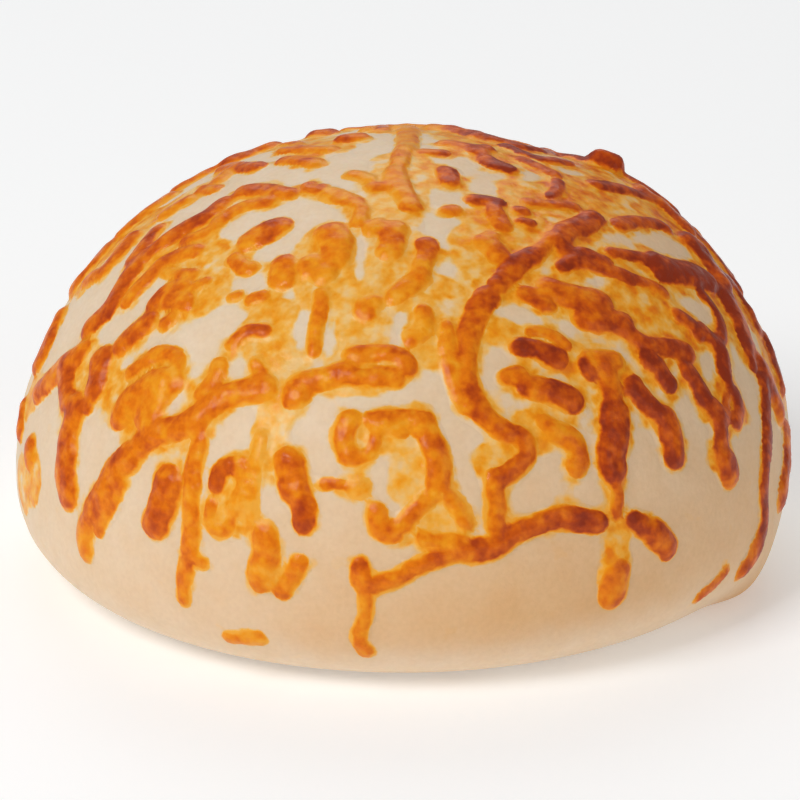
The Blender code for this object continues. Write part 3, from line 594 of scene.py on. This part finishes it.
def make_grid():
    """A cube's grid blown up to a ball and wrapped round the roll with little stretch.

    It gives the azimuth and polar of each point, and the four-sided faces."""
    mesh = bmesh.new()
    bmesh.ops.create_cube(mesh, size=2)
    bmesh.ops.subdivide_edges(mesh, edges=mesh.edges, cuts=GRID_CUTS, use_grid_fill=True)
    mesh.verts.index_update()
    points = np.array([v.co for v in mesh.verts])
    faces = np.array([[v.index for v in f.verts] for f in mesh.faces])
    mesh.free()
    points = np.tan(points * math.pi / 4)
    points /= np.linalg.norm(points, axis=1, keepdims=True)
    polars = np.linspace(*PROFILE_POLARS, PROFILE_STEPS)
    radii, heights = profile(PLAIN_AZIMUTH, polars)
    strides = np.hypot(np.diff(radii), np.diff(heights)) / ((radii[1:] + radii[:-1]) / 2)
    reach = np.concatenate([[0], np.cumsum(strides)])
    reach -= np.interp(90, polars, reach)
    from_pole = 2 * np.arctan(np.exp(reach) * math.tan(math.radians(WAIST_SHARE) / 2))
    polar = np.interp(np.arccos(np.clip(points[:, 2], -1, 1)), from_pole, polars)
    azimuth = np.degrees(np.arctan2(points[:, 0], -points[:, 1]))
    return azimuth, polar, faces


# ---------------------------------------------------------------- where the cheese lies

def scattered_strands(seed, count, gap, lengths, widths, taken):
    """Strands of the back half, by the solid's own rule. Their middles join the taken places."""
    draw = random.Random(seed)
    heights = [math.cos(math.radians(polar)) for polar in SCATTER_POLARS]
    strands = []
    for _ in range(SCATTER_TRIES):
        azimuth = draw.uniform(*SCATTER_AZIMUTHS)
        polar = math.degrees(math.acos(draw.uniform(*heights)))
        length = draw.uniform(*lengths)
        heading = draw.uniform(0, 180) if polar < DRIP_POLAR else draw.uniform(*DRIP_HEADINGS)
        bend = draw.uniform(-SCATTER_BEND, SCATTER_BEND)
        width = draw.uniform(*widths)
        toasts = [draw.uniform(*SCATTER_TOASTS) for _ in range(2)]
        middle = place_point((azimuth, polar))
        if all((middle - other).length > gap for other in taken):
            taken.append(middle)
            strands.append((width, *toasts, *walk(azimuth, polar, heading, length, bend)))
        if len(strands) == count:
            break
    return strands


def scattered_pools():
    """Pools among the strands of the back half."""
    draw = random.Random(POOL_SEED)
    pools = []
    for _ in range(POOL_COUNT):
        azimuth = draw.uniform(*SCATTER_AZIMUTHS)
        polar = draw.uniform(*SCATTER_POLARS)
        reach = draw.uniform(*POOL_LENGTHS)
        heading = draw.uniform(0, 180)
        pools.append((draw.uniform(*POOL_WIDTHS), *walk(azimuth, polar, heading, reach, 0)))
    return pools


def walk(azimuth, polar, heading, length, bend):
    """Three places of a strand this long in mm, about its middle.

    Its heading is 0 for level and 90 for downhill, and it turns by the bend on either side of the middle."""
    centre = to_map(azimuth, polar)
    downhill = centre.normalized()
    level = Vector((-downhill.y, downhill.x))
    reach = math.degrees(length * MM / WAIST_RADIUS) / 2
    start = math.radians(heading - bend)
    end = math.radians(heading + bend)
    return (
        from_map(centre - reach * (level * math.cos(start) + downhill * math.sin(start))),
        (azimuth, polar),
        from_map(centre + reach * (level * math.cos(end) + downhill * math.sin(end))),
    )


def along_route(points, line):
    """Distance of each point from a line, and how far along the line it is, from 0 to 1."""
    starts, runs = line[:-1], np.diff(line, axis=0)
    offset = points[:, None] - starts
    share = np.clip((offset * runs).sum(2) / np.maximum((runs * runs).sum(1), 1e-12), 0, 1)
    distance = np.linalg.norm(offset - runs * share[..., None], axis=2)
    nearest = distance.argmin(1)
    rows = np.arange(len(points))
    return distance[rows, nearest], (nearest + share[rows, nearest]) / len(runs)


def trimmed(line, cut):
    """The line without this length at each end."""
    reach = np.concatenate([[0], np.cumsum(np.linalg.norm(np.diff(line, axis=0), axis=1))])
    cut = min(cut, LONGEST_TRIM * reach[-1])
    wanted = np.linspace(cut, reach[-1] - cut, len(line))
    return np.stack([np.interp(wanted, reach, line[:, k]) for k in range(3)], -1)


def cheese_rows():
    """All strands and pools: rise in widths, width in mm, how toasted the two ends are, then places."""
    taken = [place_point(places[len(places) // 2]) for _, _, _, *places in (*PLACED_STRANDS, CURL)]
    scattered = [strand for rule in (SCATTER, FINE_SCATTER) for strand in scattered_strands(*rule, taken)]
    rows = [(STRAND_RISE, *strand) for strand in (*PLACED_STRANDS, *FINE_STRANDS, *scattered)]
    rows.append((CURL_RISE, *CURL))
    rows += [(0.0, width, 0.0, 0.0, *places) for width, *places in (*POOLS, *scattered_pools())]
    return rows


def lay_cheese(points, normals, polar, baked_and_shaded):
    """Height of the cheese over the crust at each point, and the shades that make its colour.

    Edge is how far in mm a point lies outside the nearest strand, toast is how toasted that strand is
    there, and film is how thick the thin cheese is, from 0 to 1."""
    warp = np.stack([noise_at(points, WARP_SIZE, seed, 1) for seed in WARP_SEEDS], -1)
    warp -= (warp * normals).sum(1, keepdims=True) * normals
    wandered = points + WARP_HEIGHT * warp
    lumpy = noise_at(points, *LUMPS)
    patchy = noise_at(points, *PATCHES)
    upper = blend_in(*UPPER_POLARS, polar)
    # the halo spreads further on the browner sides, painted shade of the +X side included
    halo, cover = (low + (above + side * baked_and_shaded) * upper for low, above, side in (HALO_REACH, HALO_COVER))
    raised = np.zeros(len(points))
    inside = np.full(len(points), math.exp(-EDGE_LIMIT / EDGE_BLEND))
    toasted = FAR_TOAST * inside
    bare = np.ones(len(points))
    for rise, width, first, last, *places in cheese_rows():
        half = (STRAND_SHARE if rise else 1.0) * width * MM / 2
        line = trimmed(smooth_route(places), TRIM * half)
        middle = line.mean(0)
        reach = np.linalg.norm(line - middle, axis=1).max() + half + FARTHEST_HALO
        near = np.flatnonzero(np.linalg.norm(points - middle, axis=1) < reach)
        distance, share = along_route(wandered[near], line)
        half_here = half * (1 + LUMP_SHARE * lumpy[near])
        beyond = np.maximum(distance - half_here, 0) / halo[near]
        bare[near] *= 1 - (cover[near] if rise else POOL_COVER) * np.exp(-beyond * beyond)
        if not rise:
            continue
        across = distance / half_here
        height = rise * width * MM * np.maximum(1 - across**3, 0)
        raised[near] = (raised[near] ** 3 + height**3) ** (1 / 3)
        weight = np.exp((half_here - distance) / MM / EDGE_BLEND)
        inside[near] += weight
        toasted[near] += weight * (first + (last - first) * share)
    film = 1 - bare
    strand_share, film_share = PATCH_SHARES
    height = raised * (1 + strand_share * patchy) + FILM_HEIGHT * film * (1 + film_share * patchy)
    height = np.where(polar < FOOT_POLAR, height, 0)
    edge = np.clip(-EDGE_BLEND * np.log(inside), -EDGE_LIMIT, EDGE_LIMIT)
    return height, {"edge": edge, "toast": toasted / inside, "film": film}


def tan_and_shade_amount(azimuth, polar):
    """How tanned the dough is, painted shade included, from 0 to 1, at each place."""
    pale = np.ones(len(azimuth))
    for middle, height, wide, tall, amount in TANS_AND_SHADE:
        pale *= 1 - amount * np.exp(-(((azimuth - middle) / wide) ** 2) - ((polar - height) / tall) ** 2)
    return 1 - pale


def baking_and_shade(azimuth, polar):
    """How much browner than the middle of the front the cheese is at each place, from baking and, on the +X
    side, from painted shade.
    """
    amount = np.zeros(len(azimuth))
    for middle, most in BAKED_AND_SHADED_SIDES:
        amount += most * np.maximum(np.cos(np.radians(azimuth - middle)), 0) ** BAKED_AND_SHADED_POWER
    return amount * blend_in(*BAKED_AND_SHADED_POLARS, polar)


# ---------------------------------------------------------------- meshes

def make_mesh(name, points, faces, shades):
    """A mesh object whose points carry these named shades."""
    data = bpy.data.meshes.new(name)
    data.from_pydata(points.tolist(), [], faces.tolist())
    data.shade_smooth()
    for shade, values in shades.items():
        attribute = data.attributes.new(shade, "FLOAT", "POINT")
        attribute.data.foreach_set("value", values.astype(np.float32))
    obj = bpy.data.objects.new(name, data)
    bpy.context.scene.collection.objects.link(obj)
    return obj


def closed_patch(chosen, faces, count):
    """The chosen faces, and more beside them until none touch at a corner alone."""
    while True:
        picked = faces[chosen]
        edges = np.sort(np.stack([picked, np.roll(picked, -1, axis=1)], -1).reshape(-1, 2), axis=1)
        pairs, uses = np.unique(edges, axis=0, return_counts=True)
        corners = np.bincount(pairs[uses == 1].ravel(), minlength=count)
        pinched = (corners > 2)[faces].any(1) & ~chosen
        if not pinched.any():
            return chosen
        chosen = chosen | pinched


def make_cheese(points, normals, faces, height, shades):
    """A closed shell: the cheese's top, an underside inside the dough, and a rim that joins them."""
    chosen = closed_patch((height > THINNEST)[faces].any(1), faces, len(points))
    picked = faces[chosen]
    used, picked = np.unique(picked, return_inverse=True)
    picked = picked.reshape(-1, 4)
    top = points[used] + normals[used] * (height[used] - FILM_SINK)[:, None]
    underside = points[used] - normals[used] * UNDERSIDE
    directed = np.stack([picked, np.roll(picked, -1, axis=1)], -1).reshape(-1, 2)
    _, index, uses = np.unique(np.sort(directed, axis=1), axis=0, return_index=True, return_counts=True)
    rim = directed[index[uses == 1]]
    count = len(used)
    walls = np.stack([rim[:, 1], rim[:, 0], rim[:, 0] + count, rim[:, 1] + count], -1)
    shell = np.concatenate([picked, picked[:, ::-1] + count, walls])
    shades = {shade: np.tile(values[used], 2) for shade, values in shades.items()}
    return make_mesh("cheese", np.concatenate([top, underside]), shell, shades)


# ---------------------------------------------------------------- materials

def add_node(tree, kind, inputs=None, **settings):
    """A new node with these settings. Each input is a value, or a socket of another node to link to it."""
    node = tree.nodes.new(kind)
    for name, value in settings.items():
        setattr(node, name, value)
    for key, value in (inputs or {}).items():
        if isinstance(value, bpy.types.NodeSocket):
            tree.links.new(value, node.inputs[key])
        else:
            node.inputs[key].default_value = value
    return node


def add_ramp(tree, value, stops):
    """A colour ramp of (position, (red, green, blue)) stops."""
    ramp = add_node(tree, "ShaderNodeValToRGB", {"Fac": value})
    elements = ramp.color_ramp.elements
    while len(elements) < len(stops):
        elements.new(0.5)
    for element, (position, colour) in zip(elements, stops):
        element.position = position
        element.color = (*colour, 1)
    return ramp.outputs["Color"]


def add_noise(tree, coords, size, detail, roughness):
    sources = {"Vector": coords, "Scale": 1 / size, "Detail": detail, "Roughness": roughness}
    return add_node(tree, "ShaderNodeTexNoise", sources).outputs["Fac"]


def add_math(tree, operation, *values):
    return add_node(tree, "ShaderNodeMath", dict(enumerate(values)), operation=operation).outputs[0]


def add_range(tree, value, span, target, curve="LINEAR"):
    """The value, moved so that the ends of the span come to the ends of the target, and never past them."""
    names = ("Value", "From Min", "From Max", "To Min", "To Max")
    inputs = dict(zip(names, (value, *span, *target)))
    return add_node(tree, "ShaderNodeMapRange", inputs, interpolation_type=curve).outputs["Result"]


def add_blotches(tree, coords, size, detail, roughness, least, most):
    """Noise stretched to run from the least to the most."""
    return add_range(tree, add_noise(tree, coords, size, detail, roughness), NOISE_SPAN, (least, most))


def multiply_colours(tree, first, second):
    """Two colours, multiplied. Sockets 6 and 7 of a Mix node are its colours, and 2 is its mixed colour."""
    mix = add_node(tree, "ShaderNodeMix", data_type="RGBA", blend_type="MULTIPLY")
    mix.inputs["Factor"].default_value = 1.0
    tree.links.new(first, mix.inputs[6])
    tree.links.new(second, mix.inputs[7])
    return mix.outputs[2]


def add_bump(tree, height, distance, strength, normal=None):
    inputs = {"Height": height, "Distance": distance, "Strength": strength}
    if normal:
        inputs["Normal"] = normal
    return add_node(tree, "ShaderNodeBump", inputs).outputs["Normal"]


def read_shade(tree, shade):
    return add_node(tree, "ShaderNodeAttribute", attribute_name=shade).outputs["Fac"]


def set_inputs(node, values):
    for name, value in values.items():
        node.inputs[name].default_value = value


def strand_tone(tree, coords, browned_and_shaded):
    """A golden rim, and a core as dark as it is toasted, with frayed edges, blotches and specks."""
    edge = add_math(tree, "ADD", read_shade(tree, "edge"), add_blotches(tree, coords, *EDGE_FRAY))
    rim_edge = add_math(tree, "ADD", edge, add_blotches(tree, coords, *RIM_BLOTCHES))
    rim = add_range(tree, rim_edge, RIM_EDGES, (0.0, RIM_TONE), "SMOOTHSTEP")
    core_edge = add_math(tree, "ADD", edge, add_blotches(tree, coords, *CORE_BLOTCHES))
    core = add_range(tree, core_edge, CORE_EDGES, (0.0, CORE_TONE), "SMOOTHSTEP")
    toast = add_math(tree, "ADD", read_shade(tree, "toast"), add_blotches(tree, coords, *TOAST_BLOTCHES))
    toast = add_math(tree, "ADD", toast, add_blotches(tree, coords, *TOAST_SPECKS))
    # toast grows on the browner sides, painted shade of the +X side included
    baked_and_shaded = add_range(tree, read_shade(tree, "bake_and_shade"), (0.0, 1.0), BAKED_AND_SHADED_TOAST)
    toast = add_math(tree, "MULTIPLY", add_math(tree, "MAXIMUM", toast, LEAST_TOAST), baked_and_shaded)
    toast = add_math(tree, "POWER", toast, TOAST_POWER)
    return add_math(tree, "MULTIPLY_ADD", core, toast, add_math(tree, "MULTIPLY", rim, browned_and_shaded))


def film_tone(tree, coords, browned_and_shaded):
    """Wisps and golden blotches of thin cheese."""
    thickness = add_math(tree, "ADD", read_shade(tree, "film"), add_blotches(tree, coords, *FILM_WISPS))
    film = add_range(tree, thickness, FILM_EDGES, (0.0, FILM_TONE), "SMOOTHSTEP")
    film = add_math(tree, "MULTIPLY", film, add_blotches(tree, coords, *FILM_GOLD))
    return add_math(tree, "MULTIPLY", film, browned_and_shaded)


def tone_colour(tree, coords, tone):
    """The colour for a tone, over dough that is tanned and painted with shade here and there, and faintly
    mottled.
    """
    colour = add_ramp(tree, tone, TONES)
    bare = add_range(tree, tone, BARE_TONES, (1.0, 0.0))
    # the tan shade holds the dough's own tan together with painted shade
    tanned = add_math(tree, "MULTIPLY", read_shade(tree, "tan"), bare)
    colour = multiply_colours(tree, colour, add_ramp(tree, tanned, TAN_AND_SHADE_TINT))
    mottle = add_ramp(tree, add_noise(tree, coords, *MOTTLE_NOISE), DOUGH_MOTTLE)
    grain = add_ramp(tree, add_noise(tree, coords, *GRAIN_NOISE), DOUGH_GRAIN)
    return multiply_colours(tree, multiply_colours(tree, colour, mottle), grain)


def start_material(name, surface):
    """A material whose colour goes with its tone, from 0, bare dough, to 1, nearly burnt."""
    material = bpy.data.materials.new(name)
    material.use_nodes = True
    tree = material.node_tree
    coords = add_node(tree, "ShaderNodeTexCoord").outputs["Object"]
    # rims and film are browner where the cheese baked more, with painted shade on the +X side
    browned_and_shaded = add_range(tree, read_shade(tree, "bake_and_shade"), (0.0, 1.0), BAKED_AND_SHADED_BROWN)
    tones = strand_tone(tree, coords, browned_and_shaded), film_tone(tree, coords, browned_and_shaded)
    tone = add_math(tree, "MAXIMUM", *tones)
    shader = tree.nodes["Principled BSDF"]
    tree.links.new(tone_colour(tree, coords, tone), shader.inputs["Base Color"])
    set_inputs(shader, surface)
    return material, tree, shader, coords, tone


def make_dough_material():
    material, tree, shader, coords, _ = start_material("soft_dough", DOUGH_SURFACE)
    tree.links.new(add_blotches(tree, coords, *DOUGH_ROUGHNESS), shader.inputs["Roughness"])
    pores = add_bump(tree, add_noise(tree, coords, *PORE_NOISE), *DOUGH_PORES)
    skin = add_bump(tree, add_noise(tree, coords, *SKIN_NOISE), *DOUGH_SKIN, pores)
    tree.links.new(skin, shader.inputs["Normal"])
    return material


def make_cheese_material():
    material, tree, shader, coords, tone = start_material("melted_cheese", CHEESE_SURFACE)
    gloss = add_range(tree, tone, GLOSS_TONES, GLOSS)
    roughness = add_math(tree, "ADD", gloss, add_blotches(tree, coords, *CHEESE_ROUGHNESS))
    tree.links.new(roughness, shader.inputs["Roughness"])
    cells = {"Vector": coords, **BLISTERS}
    blister = add_node(tree, "ShaderNodeTexVoronoi", cells, feature="SMOOTH_F1").outputs["Distance"]
    pores = add_bump(tree, add_noise(tree, coords, *PORE_NOISE), *CHEESE_PORES)
    blisters = add_bump(tree, blister, *CHEESE_BLISTERS, pores)
    tree.links.new(blisters, shader.inputs["Normal"])
    tree.links.new(blisters, shader.inputs["Coat Normal"])
    return material


# ---------------------------------------------------------------- stage, lights and camera

def make_floor():
    data = bpy.data.meshes.new("floor")
    edge = FLOOR_SIZE / 2
    corners = [(-edge, -edge, 0), (edge, -edge, 0), (edge, edge, 0), (-edge, edge, 0)]
    data.from_pydata(corners, [], [(0, 1, 2, 3)])
    floor = bpy.data.objects.new("floor", data)
    bpy.context.scene.collection.objects.link(floor)
    material = bpy.data.materials.new("pale_floor")
    material.use_nodes = True
    set_inputs(material.node_tree.nodes["Principled BSDF"], FLOOR_SURFACE)
    data.materials.append(material)


def make_world():
    world = bpy.data.worlds.new("soft_room")
    world.use_nodes = True
    set_inputs(world.node_tree.nodes["Background"], ROOM_SURFACE)
    bpy.context.scene.world = world


def make_light(name, place, size, power, colour):
    """A square soft box that faces the roll."""
    data = bpy.data.lights.new(name, "AREA")
    data.size = size
    data.energy = power
    data.color = colour
    light = bpy.data.objects.new(name, data)
    light.location = place
    light.rotation_euler = (AIM - Vector(place)).to_track_quat("-Z", "Y").to_euler()
    bpy.context.scene.collection.objects.link(light)


def make_camera():
    data = bpy.data.cameras.new("camera")
    data.sensor_width = SENSOR
    data.lens = LENS
    data.clip_start = CAMERA_CLIP
    camera = bpy.data.objects.new("camera", data)
    tilt = math.radians(CAMERA_ELEVATION)
    back = Vector((0, -math.cos(tilt), math.sin(tilt)))
    up = Vector((0, math.sin(tilt), math.cos(tilt)))
    right = Vector((1, 0, 0))
    camera.location = AIM + back * CAMERA_DISTANCE + up * CAMERA_LIFT + right * CAMERA_SIDE
    camera.rotation_euler = (math.radians(90) - tilt, 0, 0)
    bpy.context.scene.collection.objects.link(camera)
    bpy.context.scene.camera = camera


# ---------------------------------------------------------------- all of it

def main():
    azimuth, polar, faces = make_grid()
    crust = crust_points(azimuth, polar)
    normals = crust_normals(azimuth, polar)
    lumps = sum(height * noise_at(crust, size, DOUGH_SEED) for height, size in DOUGH_LUMPS)
    dough = crust + normals * (lumps * blend_in(0, WAIST_HEIGHT, crust[:, 2]))[:, None]
    # browning of the cheese, with painted shade on the +X side
    baked_and_shaded = baking_and_shade(azimuth, polar)
    height, shades = lay_cheese(crust, normals, polar, baked_and_shaded)
    # tan: the dough's own tan, with painted shade low on the front, at the foot and towards the +X side
    shades["tan"] = tan_and_shade_amount(azimuth, polar)
    shades["bake_and_shade"] = baked_and_shaded
    bread = make_mesh("bread", dough, faces, shades)
    cheese = make_cheese(dough, normals, faces, height, shades)
    bread.data.materials.append(make_dough_material())
    cheese.data.materials.append(make_cheese_material())
    for piece, slot in ((bread, "dough"), (cheese, "cheese")):
        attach(piece, "root")
        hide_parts("cheese_roll")
    make_floor()
    make_world()
    for light in LIGHTS:
        make_light(*light)
    make_camera()
    bpy.context.scene.view_settings.view_transform = "Standard"


main()
